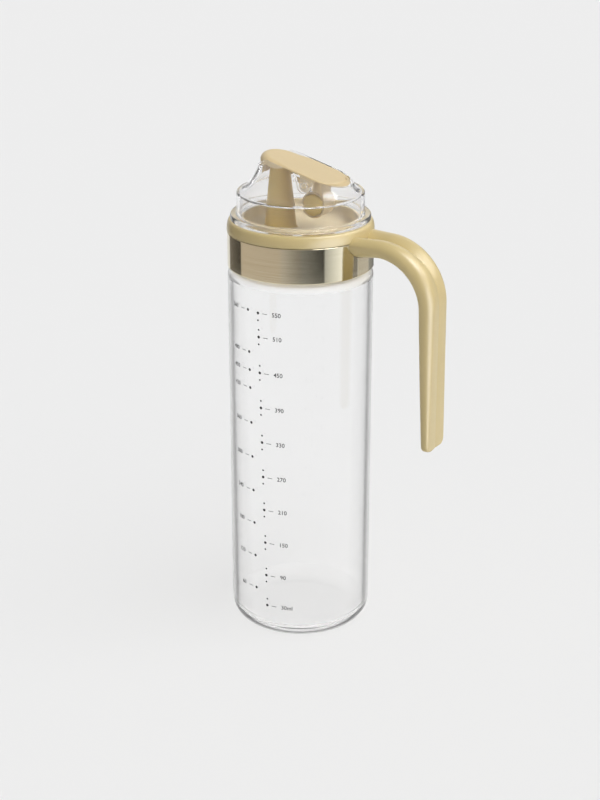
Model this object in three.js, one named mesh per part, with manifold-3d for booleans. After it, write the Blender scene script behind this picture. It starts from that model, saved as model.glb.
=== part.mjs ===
// Oil cruet: glass cylinder, steel band, handled collar, pour deck with spout,
// clear dome and a weighted lid that tips open as the bottle is tilted.
// Millimetres, +Z up. The origin is the middle of the base, the handle points to +X
// and the spout pours towards -X.

import * as THREE from 'three';
import { ParametricGeometry } from 'three/addons/geometries/ParametricGeometry.js';
import { mergeVertices } from 'three/addons/utils/BufferGeometryUtils.js';
import Module from 'manifold-3d';

// Resolution
const ROUND_SIDES = 60;
const SMALL_SIDES = 24;
const ARC_STEPS = 2;
const LID_SIDES = 60;

// Clearance between neighbouring pieces, and how far a cutting shape runs past what it cuts
const GAP = 0.3;
const CUT_MARGIN = 1;

// Glass bottle
const GLASS_RADIUS = 35;
const GLASS_WALL = 2.2;
const BASE_THICKNESS = 4;
const BASE_FILLET = 8.5;
const SHOULDER_HEIGHT = 182;
const SHOULDER_FILLET = 4;
const NECK_RADIUS = 31;
const MOUTH_RADIUS = 28.4;
const MOUTH_HEIGHT = 200.7;

// Steel band
const BAND_RADIUS = 35.1;
const BAND_THICKNESS = 0.8;
const BAND_BOTTOM = 186.7;
const BAND_TOP = 203.6;
const BAND_EDGE = 0.35;

// Collar
const COLLAR_RADIUS = 35.2;
const COLLAR_TOP = 209.3;
const COLLAR_CROWN_WIDTH = 1.6;
const COLLAR_CROWN_HEIGHT = 4.6;
const COLLAR_BORE = 28.8;
const COLLAR_SKIRT_RISE = 1;

// Pour deck and spout
const DECK_FLOOR = 203;
const DECK_FLOOR_THICKNESS = 2;
const DECK_FLANGE_RADIUS = 31.2;
const DECK_WALL = 1.5;
const DECK_RIM = 210.4;
const DECK_FILLET = 4;
const SPOUT_CENTRE = -11.1;
const SPOUT_BASE_RADIUS = 7.5;
const SPOUT_TIP_RADIUS = 4.3;
const SPOUT_WALL = 1;
const SPOUT_FOOT = 1.6;
const SPOUT_FOOT_EDGE = 0.1;

// Handle, swept along the line of its outer rims
const HANDLE_RIM_HEIGHT = 206.3;
const HANDLE_REACH = 74.5;
const HANDLE_BEND = 29.5;
const HANDLE_TIP_HEIGHT = 106.3;
const HANDLE_START = 30.5;
const HANDLE_ROOT_END = 47;
const HANDLE_HALF_WIDTH = { root: 12, body: 10.6, tip: 9.4 };
const HANDLE_DEPTH = { root: 11.2, body: 9, tip: 4.8 };
const HANDLE_BACK_ROUNDING = { root: 2, body: 3.2 };
const HANDLE_RIM_ROUNDING = { root: 3.4, body: 6, tip: 1.4 };
const HANDLE_TAPER = 1.5;
const HANDLE_TIP_ROUNDING = 3;
const CHANNEL_DEPTH = { root: 4.4, body: 0.8, tip: 0.4 };
const CHANNEL_FADE = 50;

// Slanted plane of the lid, through the bottle's axis
const LID_SLOPE = THREE.MathUtils.degToRad(15.2);
const LID_HEIGHT = 235.4;

// Flip lid
const LID_HALF_WIDTH = 11.2;
const LID_REAR_CENTRE = 12.9;
const LID_REAR_LENGTH = 13.4;
const LID_FRONT_CENTRE = -8.5;
const LID_FRONT_LENGTH = 11.5;
const LID_THICKNESS = 1.3;
const LID_EDGE = { front: 3.2, rear: 0.5 };
const LIP_WALL = 1.6;
const LIP_START = -9;
const LIP_CURVE = 0.1;
const LIP_BOTTOM = 229.7;

// Hinge and counterweight
const HINGE_X = 9.2;
const HINGE_HEIGHT = 228.4;
const PIN_RADIUS = 1.3;
const LUG_RADIUS = 2.4;
const LUG_INNER = 9;
const LUG_OUTER = 11;
const PIN_REACH = 13.2;
const WEIGHT_X = 9.75;
const WEIGHT_HEIGHT = 217.7;
const WEIGHT_RADIUS = 5.1;
const WEIGHT_LENGTH = 13;
const WEIGHT_EDGE = 0.9;
const BARREL_WALL = 0.7;
const BARREL_LENGTH = 10.6;
const STEM_X = 11.5;
const STEM_WIDTH = 4.4;
const STEM_SPAN = 9.6;

// Clear dome
const DOME_WALL = 1.6;
const DOME_RADIUS = 30.4;
const DOME_SHOULDER_HEIGHT = 222.8;
const DOME_SHOULDER_FILLET = 1;
const DOME_FLANGE_RADIUS = 33.5;
const DOME_FLANGE_HEIGHT = 2.5;
const DOME_FLANGE_FILLET = 0.9;
const RIM_THICKNESS = 1.1;
const RIM_OFFSET = 1.7;
const RIM_DROP = { front: 5.6, rear: 0.6 };
const RIM_RISE = { from: -18, to: -7 };
const RIM_LIP = 1.4;
const ROOF_BELL = { along: 0.5, up: 0.06 };
const EAR_WIDTH = 7.4;
const EAR_TOP_WIDTH = 10.4;
const EAR_INNER = 11.8;
const EAR_OUTER = 13.4;
const EAR_ROOT = 0.6;

const COLOURS = {
  glass: { color: 0xe9efee, roughness: 0.03, metalness: 0 },
  clear: { color: 0xf1f1f4, roughness: 0.05, metalness: 0 },
  steel: { color: 0xc3b696, roughness: 0.18, metalness: 1 },
  cream: { color: 0xe2cfa3, roughness: 0.42, metalness: 0 },
};

const wasm = await Module();
wasm.setup();

// Solids

function signedVolume(positions, triangles) {
  const corner = (i) => new THREE.Vector3().fromArray(positions, 3 * i);
  let volume = 0;
  for (let i = 0; i < triangles.length; i += 3) {
    const [a, b, c] = [corner(triangles[i]), corner(triangles[i + 1]), corner(triangles[i + 2])];
    volume += a.dot(b.cross(c)) / 6;
  }
  return volume;
}

function solid(geometry) {
  geometry.deleteAttribute('normal');
  geometry.deleteAttribute('uv');
  const merged = mergeVertices(geometry);
  const positions = merged.attributes.position.array;
  const corners = merged.index.array;
  const triangles = [];
  for (let i = 0; i < corners.length; i += 3) {
    const [a, b, c] = [corners[i], corners[i + 1], corners[i + 2]];
    if (a !== b && b !== c && c !== a) {
      triangles.push(a, b, c);
    }
  }
  if (signedVolume(positions, triangles) < 0) {
    triangles.reverse();
  }
  const mesh = new wasm.Mesh({
    numProp: 3,
    vertProperties: new Float32Array(positions),
    triVerts: new Uint32Array(triangles),
  });
  return new wasm.Manifold(mesh);
}

function piece(name, body, look) {
  const { vertProperties, triVerts } = body.getMesh();
  const geometry = new THREE.BufferGeometry();
  geometry.setAttribute('position', new THREE.BufferAttribute(new Float32Array(vertProperties), 3));
  geometry.setIndex(new THREE.BufferAttribute(new Uint32Array(triVerts), 1));
  geometry.computeVertexNormals();
  const mesh = new THREE.Mesh(geometry, new THREE.MeshStandardMaterial(COLOURS[look]));
  mesh.name = name;
  return mesh;
}

// Turns a profile of radius and height round the Z axis.
function turned(profile, sides = ROUND_SIDES) {
  return solid(new THREE.LatheGeometry(profile.getPoints(ARC_STEPS), sides).rotateX(Math.PI / 2));
}

// Joins a stack of rings into one skin. ringPoint(ring, turn) gives a point of a ring.
// The ends of the stack are single points, or the last ring joins the first again.
function ringSolid(ringPoint, rings, sides, looped) {
  const stacks = looped ? rings : rings - 1;
  const place = (u, v, target) => {
    const ring = Math.round(v * stacks) % rings;
    const turn = (Math.round(u * sides) % sides) / sides;
    target.copy(ringPoint(ring, turn));
  };
  return solid(new ParametricGeometry(place, sides, stacks));
}

// A cylinder along Y.
function crossCylinder(x, z, radius, fromY, toY) {
  const shape = new THREE.CylinderGeometry(radius, radius, toY - fromY, SMALL_SIDES);
  return solid(shape.translate(0, (fromY + toY) / 2, 0).translate(x, 0, z));
}

// From one distance out to another on one side of the middle, in rising Y.
function spanAcross(side, from, to) {
  return side > 0 ? [from, to] : [-to, -from];
}

function block(low, high) {
  const size = high.map((value, i) => value - low[i]);
  const centre = high.map((value, i) => (value + low[i]) / 2);
  return solid(new THREE.BoxGeometry(...size).translate(...centre));
}

function ease(from, to, value) {
  return THREE.MathUtils.smoothstep(value, from, to);
}

function between(a, b, share) {
  return THREE.MathUtils.lerp(a, b, share);
}

// Slanted plane of the lid: along runs down towards the handle, across is Y, up is its normal.
function onLid(along, across, up) {
  return new THREE.Vector3(
    along * Math.cos(LID_SLOPE) + up * Math.sin(LID_SLOPE),
    across,
    LID_HEIGHT - along * Math.sin(LID_SLOPE) + up * Math.cos(LID_SLOPE),
  );
}

// Height of a plane parallel to the lid's top, up above it, at a given x.
function lidPlaneHeight(x, up) {
  return LID_HEIGHT - x * Math.tan(LID_SLOPE) + up / Math.cos(LID_SLOPE);
}

function lidOutlinePath() {
  const path = new THREE.Path();
  path.moveTo(LID_REAR_CENTRE + LID_REAR_LENGTH, 0);
  path.absellipse(LID_REAR_CENTRE, 0, LID_REAR_LENGTH, LID_HALF_WIDTH, 0, Math.PI / 2);
  path.lineTo(LID_FRONT_CENTRE, LID_HALF_WIDTH);
  path.absellipse(LID_FRONT_CENTRE, 0, LID_FRONT_LENGTH, LID_HALF_WIDTH, Math.PI / 2, 1.5 * Math.PI);
  path.lineTo(LID_REAR_CENTRE, -LID_HALF_WIDTH);
  path.absellipse(LID_REAR_CENTRE, 0, LID_REAR_LENGTH, LID_HALF_WIDTH, 1.5 * Math.PI, 2 * Math.PI);
  return path;
}

const LID_OUTLINE = lidOutlinePath();

// A point of the lid's outline, moved outwards by offset. x runs along the lid, y across.
function lidOutline(turn, offset) {
  const point = LID_OUTLINE.getPointAt(turn);
  const tangent = LID_OUTLINE.getTangentAt(turn);
  return new THREE.Vector2(point.x + offset * tangent.y, point.y - offset * tangent.x);
}

// Glass bottle

function glassBottle() {
  const innerRadius = GLASS_RADIUS - GLASS_WALL;
  const innerFillet = BASE_FILLET - GLASS_WALL;
  const shoulderCentre = GLASS_RADIUS - SHOULDER_FILLET;
  const innerShoulderFillet = SHOULDER_FILLET - GLASS_WALL;
  const innerFloorCorner = BASE_THICKNESS + innerFillet;
  const path = new THREE.Path();
  path.moveTo(0, 0);
  path.lineTo(GLASS_RADIUS - BASE_FILLET, 0);
  path.absarc(GLASS_RADIUS - BASE_FILLET, BASE_FILLET, BASE_FILLET, -Math.PI / 2, 0);
  path.lineTo(GLASS_RADIUS, SHOULDER_HEIGHT);
  path.absarc(shoulderCentre, SHOULDER_HEIGHT, SHOULDER_FILLET, 0, Math.PI / 2);
  path.lineTo(NECK_RADIUS, MOUTH_HEIGHT);
  path.lineTo(MOUTH_RADIUS, MOUTH_HEIGHT);
  path.lineTo(MOUTH_RADIUS, SHOULDER_HEIGHT + innerShoulderFillet);
  path.lineTo(shoulderCentre, SHOULDER_HEIGHT + innerShoulderFillet);
  path.absarc(shoulderCentre, SHOULDER_HEIGHT, innerShoulderFillet, Math.PI / 2, 0, true);
  path.lineTo(innerRadius, innerFloorCorner);
  path.absarc(innerRadius - innerFillet, innerFloorCorner, innerFillet, 0, -Math.PI / 2, true);
  path.lineTo(0, BASE_THICKNESS);
  return turned(path);
}

// Handle: a channel that leaves the collar level, bends down and ends free

function handlePath() {
  const bendX = HANDLE_REACH - HANDLE_BEND;
  const bendZ = HANDLE_RIM_HEIGHT - HANDLE_BEND;
  const path = new THREE.Path();
  path.moveTo(HANDLE_START, HANDLE_RIM_HEIGHT);
  path.lineTo(bendX, HANDLE_RIM_HEIGHT);
  path.absarc(bendX, bendZ, HANDLE_BEND, Math.PI / 2, 0, true);
  path.lineTo(HANDLE_REACH, HANDLE_TIP_HEIGHT);
  return path;
}

// Distances along the path at which the handle's section is set.
function handleStations(length) {
  const rootStep = 2;
  const bodyStep = 5;
  const tipSteps = 4;
  const stations = [];
  const rootLength = HANDLE_ROOT_END - HANDLE_START;
  for (let s = 0; s < rootLength; s += rootStep) {
    stations.push(s);
  }
  const tipStart = length - HANDLE_TIP_ROUNDING;
  const bodySteps = Math.round((tipStart - rootLength) / bodyStep);
  for (let i = 0; i < bodySteps; i += 1) {
    stations.push(between(rootLength, tipStart, i / bodySteps));
  }
  for (let i = 0; i <= tipSteps; i += 1) {
    stations.push(tipStart + HANDLE_TIP_ROUNDING * Math.sin((i / tipSteps) * (Math.PI / 2)));
  }
  return stations;
}

// One section, as points across the handle and out from its rims. It is grown all round by grow,
// and its channel is as deep as hollow says, from 0 for none to 1.
function handleSection(distance, length, grow, hollow) {
  const rootShare = ease(0, HANDLE_ROOT_END - HANDLE_START, distance);
  const bodyShare = THREE.MathUtils.clamp(distance / length, 0, 1) ** HANDLE_TAPER;
  const body = between(HANDLE_HALF_WIDTH.body, HANDLE_HALF_WIDTH.tip, bodyShare);
  const tipShare = Math.max(0, (distance - length) / HANDLE_TIP_ROUNDING + 1);
  const tipLoss = HANDLE_TIP_ROUNDING * (1 - Math.sqrt(Math.max(0, 1 - tipShare ** 2)));
  const halfWidth = between(HANDLE_HALF_WIDTH.root, body, rootShare) - tipLoss + grow;
  const bodyDepth = between(HANDLE_DEPTH.body, HANDLE_DEPTH.tip, bodyShare);
  const depth = between(HANDLE_DEPTH.root, bodyDepth, rootShare) + 2 * grow;
  const power = between(HANDLE_BACK_ROUNDING.root, HANDLE_BACK_ROUNDING.body, rootShare);
  const fade = ease(0, CHANNEL_FADE, distance);
  const bodyRim = between(HANDLE_RIM_ROUNDING.body, HANDLE_RIM_ROUNDING.tip, bodyShare);
  const rim = between(HANDLE_RIM_ROUNDING.root, bodyRim, fade);
  const bodyChannel = between(CHANNEL_DEPTH.body, CHANNEL_DEPTH.tip, bodyShare);
  const channel = hollow * between(CHANNEL_DEPTH.root, bodyChannel, fade);
  const crest = halfWidth - rim;
  const outerSteps = 14;
  const innerSteps = 10;
  const points = [];
  for (let i = 0; i < outerSteps; i += 1) {
    const across = -halfWidth * Math.cos((i / outerSteps) * Math.PI);
    const pastCrest = Math.max(0, Math.abs(across) - crest) / rim;
    const rounding = rim * (1 - Math.sqrt(Math.max(0, 1 - pastCrest ** 2)));
    const valley = channel * Math.max(0, 1 - Math.abs(across) / crest) ** 2;
    points.push([across, grow - rounding - valley]);
  }
  for (let i = 0; i < innerSteps; i += 1) {
    const share = Math.cos((i / innerSteps) * Math.PI);
    const bulge = (1 - Math.abs(share) ** power) ** (1 / power);
    points.push([halfWidth * share, grow - rim - (depth - rim) * bulge]);
  }
  return points;
}

function handle(grow, hollow) {
  const path = handlePath();
  const length = path.getLength();
  const stations = handleStations(length);
  const sections = stations.map((distance) => handleSection(distance, length, grow, hollow));
  const sides = sections[0].length;
  const place = (station, across, out) => {
    const share = Math.min(1, stations[station] / length);
    const point = path.getPointAt(share);
    const tangent = path.getTangentAt(share);
    return new THREE.Vector3(point.x - out * tangent.y, across, point.y + out * tangent.x);
  };
  const ringPoint = (ring, turn) => {
    const station = THREE.MathUtils.clamp(ring - 1, 0, stations.length - 1);
    const isCap = ring === 0 || ring === stations.length + 1;
    const section = sections[station];
    const outs = section.map(([, out]) => out);
    const middle = (outs[sides / 4] + Math.min(...outs)) / 2;
    const [across, out] = isCap ? [0, middle] : section[Math.round(turn * sides)];
    return place(station, across, out);
  };
  return ringSolid(ringPoint, stations.length + 2, sides, false);
}

// Collar with the handle, one moulding

function collarHandle() {
  const skirtOuter = BAND_RADIUS - BAND_THICKNESS - GAP;
  const skirtInner = NECK_RADIUS + 2 * GAP;
  const skirtBottom = BAND_BOTTOM + COLLAR_SKIRT_RISE;
  const crownCentre = COLLAR_RADIUS - COLLAR_CROWN_WIDTH;
  const crownBase = COLLAR_TOP - COLLAR_CROWN_HEIGHT;
  const path = new THREE.Path();
  path.moveTo(skirtInner, skirtBottom);
  path.lineTo(skirtOuter, skirtBottom);
  path.lineTo(skirtOuter, BAND_TOP + GAP);
  path.lineTo(COLLAR_RADIUS, BAND_TOP + GAP);
  path.lineTo(COLLAR_RADIUS, crownBase);
  path.absellipse(crownCentre, crownBase, COLLAR_CROWN_WIDTH, COLLAR_CROWN_HEIGHT, 0, Math.PI / 2);
  path.lineTo(COLLAR_BORE, COLLAR_TOP);
  path.lineTo(COLLAR_BORE, DECK_FLOOR + GAP);
  path.lineTo(skirtInner, DECK_FLOOR + GAP);
  path.lineTo(skirtInner, skirtBottom);
  const core = block([0, -COLLAR_RADIUS, 0], [skirtInner + CUT_MARGIN, COLLAR_RADIUS, COLLAR_TOP]);
  return turned(path).add(handle(0, 1).subtract(core));
}

function steelBand() {
  const inner = BAND_RADIUS - BAND_THICKNESS;
  const path = new THREE.Path();
  path.moveTo(inner, BAND_BOTTOM);
  path.lineTo(BAND_RADIUS - BAND_EDGE, BAND_BOTTOM);
  path.lineTo(BAND_RADIUS, BAND_BOTTOM + BAND_EDGE);
  path.lineTo(BAND_RADIUS, BAND_TOP);
  path.lineTo(inner, BAND_TOP);
  path.lineTo(inner, BAND_BOTTOM);
  return turned(path).subtract(handle(GAP, 0));
}

// Pour deck: a dish over the mouth, with the spout rising from its floor

function pourDeck() {
  const wallOuter = COLLAR_BORE - GAP;
  const wallInner = wallOuter - DECK_WALL;
  const bottom = DECK_FLOOR - DECK_FLOOR_THICKNESS;
  const dish = new THREE.Path();
  dish.moveTo(0, bottom);
  dish.lineTo(DECK_FLANGE_RADIUS, bottom);
  dish.lineTo(DECK_FLANGE_RADIUS, DECK_FLOOR);
  dish.lineTo(wallOuter, DECK_FLOOR);
  dish.lineTo(wallOuter, DECK_RIM);
  dish.lineTo(wallInner, DECK_RIM);
  dish.lineTo(wallInner, DECK_FLOOR + DECK_FILLET);
  dish.absarc(wallInner - DECK_FILLET, DECK_FLOOR + DECK_FILLET, DECK_FILLET, 0, -Math.PI / 2, true);
  dish.lineTo(0, DECK_FLOOR);

  const tip = LID_HEIGHT + LID_THICKNESS;
  const rootHeight = DECK_FLOOR - DECK_FLOOR_THICKNESS / 2;
  const footRadius = SPOUT_BASE_RADIUS + SPOUT_FOOT;
  const footEdge = DECK_FLOOR + SPOUT_FOOT_EDGE;
  const footTop = DECK_FLOOR + 2 * SPOUT_FOOT;
  const column = new THREE.Path();
  column.moveTo(0, rootHeight);
  column.lineTo(footRadius, rootHeight);
  column.lineTo(footRadius, footEdge);
  column.quadraticCurveTo(SPOUT_BASE_RADIUS, footEdge, SPOUT_BASE_RADIUS, footTop);
  column.lineTo(SPOUT_TIP_RADIUS, tip);
  column.lineTo(0, tip);

  const boreBase = SPOUT_BASE_RADIUS - SPOUT_WALL;
  const boreTip = SPOUT_TIP_RADIUS - SPOUT_WALL;
  const bore = new THREE.Path();
  bore.moveTo(0, bottom - CUT_MARGIN);
  bore.lineTo(boreBase, bottom - CUT_MARGIN);
  bore.lineTo(boreBase, DECK_FLOOR);
  bore.lineTo(boreTip, tip + CUT_MARGIN);
  bore.lineTo(0, tip + CUT_MARGIN);

  const cutSize = 2 * COLLAR_RADIUS;
  const mouth = onLid(0, 0, -LID_THICKNESS - 2 * GAP);
  const above = new THREE.BoxGeometry(cutSize, cutSize, cutSize).translate(0, 0, cutSize / 2);
  const cut = solid(above.rotateY(LID_SLOPE).translate(mouth.x, mouth.y, mouth.z));
  const spout = turned(column, SMALL_SIDES).translate(SPOUT_CENTRE, 0, 0).subtract(cut);
  const hollow = turned(bore, SMALL_SIDES).translate(SPOUT_CENTRE, 0, 0);
  return turned(dish).add(spout).subtract(hollow);
}

// Clear dome: flange, upright wall and a roof drawn up to a slanted opening

function rimPoint(turn, inwards, lower) {
  const rise = ease(RIM_RISE.from, RIM_RISE.to, lidOutline(turn, 0).x);
  const drop = between(RIM_DROP.front, RIM_DROP.rear, rise) + lower;
  const edge = lidOutline(turn, RIM_OFFSET - inwards);
  const point = onLid(edge.x, edge.y, -LID_THICKNESS);
  point.z -= drop;
  return point;
}

// The point of a level circle that lies straight out from the lid's middle past a rim point.
function circlePoint(turn, radius, height) {
  const middle = (LID_REAR_CENTRE + LID_FRONT_CENTRE) / 2;
  const rim = rimPoint(turn, 0, 0);
  const angle = Math.atan2(rim.y, rim.x - middle);
  const sideways = middle * Math.sin(angle);
  const reach = Math.sqrt(radius ** 2 - sideways ** 2) - middle * Math.cos(angle);
  return new THREE.Vector3(middle + reach * Math.cos(angle), reach * Math.sin(angle), height);
}

function domeShell() {
  const bottom = COLLAR_TOP + GAP;
  const flangeTop = bottom + DOME_FLANGE_HEIGHT;
  const inner = DOME_RADIUS - DOME_WALL;
  const shoulder = DOME_SHOULDER_HEIGHT;
  const fillet = DOME_SHOULDER_FILLET;
  const diagonal = fillet * (1 - Math.SQRT1_2);
  const circles = [
    [inner, bottom],
    [DOME_FLANGE_RADIUS, bottom],
    [DOME_FLANGE_RADIUS, flangeTop - DOME_FLANGE_FILLET],
    [DOME_FLANGE_RADIUS - DOME_FLANGE_FILLET, flangeTop],
    [DOME_RADIUS + DOME_FLANGE_FILLET, flangeTop],
    [DOME_RADIUS, flangeTop + DOME_FLANGE_FILLET],
    [DOME_RADIUS, shoulder - fillet],
    [DOME_RADIUS - diagonal, shoulder - diagonal],
    [DOME_RADIUS - fillet, shoulder],
  ];
  const innerCircle = [inner, shoulder - DOME_WALL];
  const roofSteps = 4;
  const rings = circles.map(([radius, height]) => (turn) => circlePoint(turn, radius, height));
  const roof = (circle, inwards, lower, share) => (turn) => {
    const foot = circlePoint(turn, ...circle);
    const rim = rimPoint(turn, inwards, lower);
    const bend = foot.clone().lerp(rim, ROOF_BELL.along);
    bend.z = between(foot.z, rim.z, ROOF_BELL.up);
    return new THREE.QuadraticBezierCurve3(foot, bend, rim).getPoint(share);
  };
  for (let i = 1; i <= roofSteps; i += 1) {
    rings.push(roof(circles[circles.length - 1], 0, 0, i / roofSteps));
  }
  rings.push((turn) => rimPoint(turn, RIM_THICKNESS, 0));
  for (let i = roofSteps; i >= 0; i -= 1) {
    rings.push(roof(innerCircle, RIM_THICKNESS, RIM_LIP, i / roofSteps));
  }
  return ringSolid((ring, turn) => rings[ring](turn), rings.length, LID_SIDES, true);
}

// A hinge ear under the roof.
function domeEar(side) {
  const half = EAR_WIDTH / 2;
  const topHalf = EAR_TOP_WIDTH / 2;
  const below = EAR_ROOT - LID_THICKNESS - RIM_DROP.rear - RIM_LIP;
  const shape = new THREE.Shape();
  shape.moveTo(-topHalf, lidPlaneHeight(HINGE_X - topHalf, below) - HINGE_HEIGHT);
  shape.lineTo(-half, 0);
  shape.absarc(0, 0, half, Math.PI, 2 * Math.PI);
  shape.lineTo(topHalf, lidPlaneHeight(HINGE_X + topHalf, below) - HINGE_HEIGHT);
  const geometry = new THREE.ExtrudeGeometry(shape, {
    depth: EAR_OUTER - EAR_INNER,
    bevelEnabled: false,
    curveSegments: SMALL_SIDES / 2,
  });
  const near = side > 0 ? EAR_OUTER : -EAR_INNER;
  return solid(geometry.rotateX(Math.PI / 2).translate(HINGE_X, near, HINGE_HEIGHT));
}

function clearDome() {
  let dome = domeShell();
  for (const side of [-1, 1]) {
    const hole = spanAcross(side, EAR_INNER - CUT_MARGIN, PIN_REACH + GAP);
    dome = dome.add(domeEar(side));
    dome = dome.subtract(crossCylinder(HINGE_X, HINGE_HEIGHT, PIN_RADIUS + GAP, ...hole));
  }
  return dome;
}

// Flip lid: slanted plate with a lip inside its front, hinge lugs, and the weight's barrel

function lidPlate() {
  const underside = -LID_THICKNESS;
  const edgeSteps = 3;
  const middle = (LID_REAR_CENTRE + LID_FRONT_CENTRE) / 2;
  const edgeRadius = (turn) => {
    const share = ease(LID_FRONT_CENTRE, 0, lidOutline(turn, 0).x);
    return between(LID_EDGE.front, LID_EDGE.rear, share);
  };
  const level = (turn, inset, up) => {
    const edge = lidOutline(turn, -inset);
    return onLid(edge.x, edge.y, up);
  };
  const lipFoot = (inset) => (turn) => {
    const foot = level(turn, inset, underside);
    const pastStart = Math.max(0, LIP_START - lidOutline(turn, -inset).x);
    foot.z -= Math.min(LIP_CURVE * pastStart ** 2, foot.z - LIP_BOTTOM);
    return foot;
  };
  const rings = [() => onLid(middle, 0, 0)];
  for (let i = 0; i <= edgeSteps; i += 1) {
    const angle = (i / edgeSteps) * (Math.PI / 2);
    rings.push((turn) => {
      const radius = edgeRadius(turn);
      return level(turn, radius * (1 - Math.sin(angle)), -radius * (1 - Math.cos(angle)));
    });
  }
  rings.push(lipFoot(0));
  rings.push(lipFoot(LIP_WALL));
  rings.push((turn) => level(turn, LIP_WALL, underside));
  rings.push(() => onLid(middle, 0, underside));
  return ringSolid((ring, turn) => rings[ring](turn), rings.length, LID_SIDES, false);
}

function flipLid() {
  const barrelInner = WEIGHT_RADIUS + GAP;
  const barrelOuter = barrelInner + BARREL_WALL;
  const plateMiddle = (x) => lidPlaneHeight(x, -LID_THICKNESS / 2);
  const stemLeft = STEM_X - STEM_WIDTH / 2;
  const stemRight = STEM_X + STEM_WIDTH / 2;
  const stemTop = plateMiddle(stemRight);
  let lid = lidPlate();
  lid = lid.add(block([stemLeft, -STEM_SPAN / 2, WEIGHT_HEIGHT], [stemRight, STEM_SPAN / 2, stemTop]));
  const barrelEnd = BARREL_LENGTH / 2;
  const boreEnd = barrelEnd + CUT_MARGIN;
  lid = lid.add(crossCylinder(WEIGHT_X, WEIGHT_HEIGHT, barrelOuter, -barrelEnd, barrelEnd));
  lid = lid.subtract(crossCylinder(WEIGHT_X, WEIGHT_HEIGHT, barrelInner, -boreEnd, boreEnd));
  for (const side of [-1, 1]) {
    const lug = spanAcross(side, LUG_INNER, LUG_OUTER);
    const pin = spanAcross(side, LUG_INNER, PIN_REACH);
    const lugRear = HINGE_X + LUG_RADIUS;
    const lugLow = [HINGE_X - LUG_RADIUS, lug[0], HINGE_HEIGHT];
    const lugHigh = [lugRear, lug[1], plateMiddle(lugRear)];
    lid = lid.add(crossCylinder(HINGE_X, HINGE_HEIGHT, LUG_RADIUS, ...lug));
    lid = lid.add(block(lugLow, lugHigh));
    lid = lid.add(crossCylinder(HINGE_X, HINGE_HEIGHT, PIN_RADIUS, ...pin));
  }
  return lid;
}

function counterweight() {
  const half = WEIGHT_LENGTH / 2;
  const edge = WEIGHT_RADIUS - WEIGHT_EDGE;
  const path = new THREE.Path();
  path.moveTo(0, -half);
  path.lineTo(edge, -half);
  path.absarc(edge, -half + WEIGHT_EDGE, WEIGHT_EDGE, -Math.PI / 2, 0);
  path.absarc(edge, half - WEIGHT_EDGE, WEIGHT_EDGE, 0, Math.PI / 2);
  path.lineTo(0, half);
  const geometry = new THREE.LatheGeometry(path.getPoints(ARC_STEPS), SMALL_SIDES);
  return solid(geometry.translate(WEIGHT_X, 0, WEIGHT_HEIGHT));
}

const cruet = new THREE.Group();
cruet.add(piece('glass_bottle', glassBottle(), 'glass'));
cruet.add(piece('steel_band', steelBand(), 'steel'));
cruet.add(piece('collar_handle', collarHandle(), 'cream'));
cruet.add(piece('pour_deck', pourDeck(), 'cream'));
cruet.add(piece('clear_dome', clearDome(), 'clear'));
cruet.add(piece('flip_lid', flipLid(), 'cream'));
cruet.add(piece('counterweight', counterweight(), 'cream'));

export default cruet;
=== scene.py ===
# Looks of the oil cruet, its stage, lights and camera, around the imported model.
# Lengths are millimetres until a mesh is made, and angles are degrees until they are used.
# The origin is the middle of the base, the handle points to +X and the spout to -X.

import bisect
import math

import bmesh
import bpy
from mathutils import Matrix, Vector


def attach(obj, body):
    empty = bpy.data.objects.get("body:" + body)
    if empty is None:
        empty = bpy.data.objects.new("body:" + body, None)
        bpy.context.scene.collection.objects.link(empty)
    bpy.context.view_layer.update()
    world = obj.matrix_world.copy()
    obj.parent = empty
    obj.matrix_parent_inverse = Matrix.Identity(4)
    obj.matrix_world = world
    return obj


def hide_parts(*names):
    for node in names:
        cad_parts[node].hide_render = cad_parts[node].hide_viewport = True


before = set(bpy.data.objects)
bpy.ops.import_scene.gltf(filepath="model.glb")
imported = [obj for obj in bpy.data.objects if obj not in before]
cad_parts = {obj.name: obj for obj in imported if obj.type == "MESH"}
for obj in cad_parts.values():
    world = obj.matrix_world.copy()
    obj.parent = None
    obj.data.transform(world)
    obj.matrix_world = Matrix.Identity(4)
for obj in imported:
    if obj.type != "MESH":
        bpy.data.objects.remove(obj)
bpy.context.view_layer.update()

MM = 0.001

# Resolution
ROUND_SIDES = 160
SMALL_SIDES = 64
LID_SIDES = 192
FILLET_STEPS = 6
ROOF_STEPS = 24
SHARP_ANGLE = 38
LONG_STRETCH = 2.5
SUPPORT = 0.25
BEVEL_STEPS = 3
WELD_DISTANCE = 0.0001

# Clearance between neighbouring pieces, how far a shape that cuts or joins runs past the surface,
# the rounding of a cutter's edges, and how far round a form its own faces are looked for
GAP = 0.3
CUT_MARGIN = 1
CUTTER_EDGE = 0.01
FACE_MARGIN = 0.25

# Glass bottle
GLASS_RADIUS = 35
GLASS_WALL = 2.2
BASE_THICKNESS = 4
BASE_FILLET = 8.5
SHOULDER_TOP = 186
SHOULDER_FILLET = 4
NECK_RADIUS = 31
MOUTH_RADIUS = 28.4
MOUTH_HEIGHT = 200.7
MOUTH_EDGE = 0.8

# Steel band
BAND_RADIUS = 35.1
BAND_THICKNESS = 0.8
BAND_BOTTOM = 186.7
BAND_TOP = 203.6
BAND_EDGE = 0.25
BAND_INNER_EDGE = 0.1

# Collar
COLLAR_RADIUS = 35.2
COLLAR_TOP = 209.3
COLLAR_CROWN_WIDTH = 1.6
COLLAR_CROWN_HEIGHT = 4.6
COLLAR_CROWN_FLAT = 1
COLLAR_BORE = 28.8
COLLAR_SKIRT_RISE = 1
COLLAR_EDGE = 0.3
COLLAR_FOOT_EDGE = 0.2

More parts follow.
